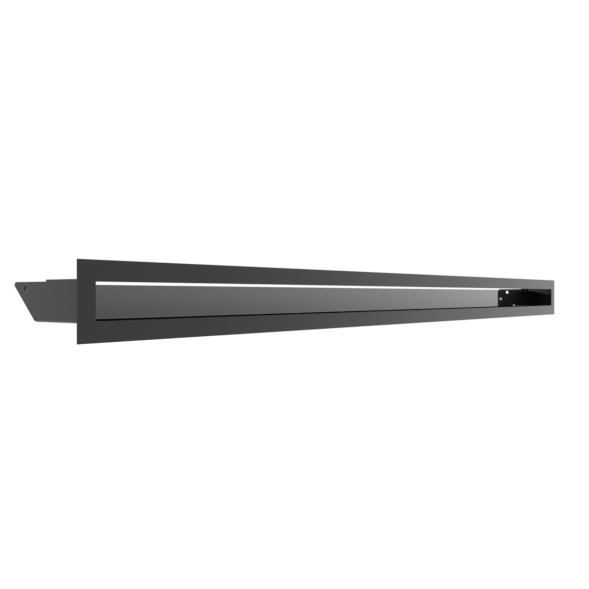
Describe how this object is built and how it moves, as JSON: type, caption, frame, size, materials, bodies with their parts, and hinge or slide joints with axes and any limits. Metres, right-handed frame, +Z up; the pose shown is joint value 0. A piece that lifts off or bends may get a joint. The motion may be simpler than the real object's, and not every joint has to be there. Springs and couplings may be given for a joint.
{
  "type": "fireplace vent grille",
  "caption": "Long slot vent for a fireplace breast: a flat steel frame round one slot, with a shallow duct behind it whose rear wall slopes up to turn rising warm air forwards.",
  "frame": {"origin": "middle of the slot, in the plane of the front frame's back face, which lies on the wall", "axes": "+X along the grille, +Y into the wall, so that -Y faces the room, +Z up"},
  "size_m": [1, 0.0984, 0.06],
  "materials": {
    "frame_coat": "smooth satin powder coat, dark graphite grey",
    "duct_coat": "smooth satin powder coat, dark graphite grey"
  },
  "bodies": {
    "root": {"front_frame": "frame_coat", "duct_tray": "duct_coat", "roof_plate": "duct_coat"}
  },
  "joints": []
}
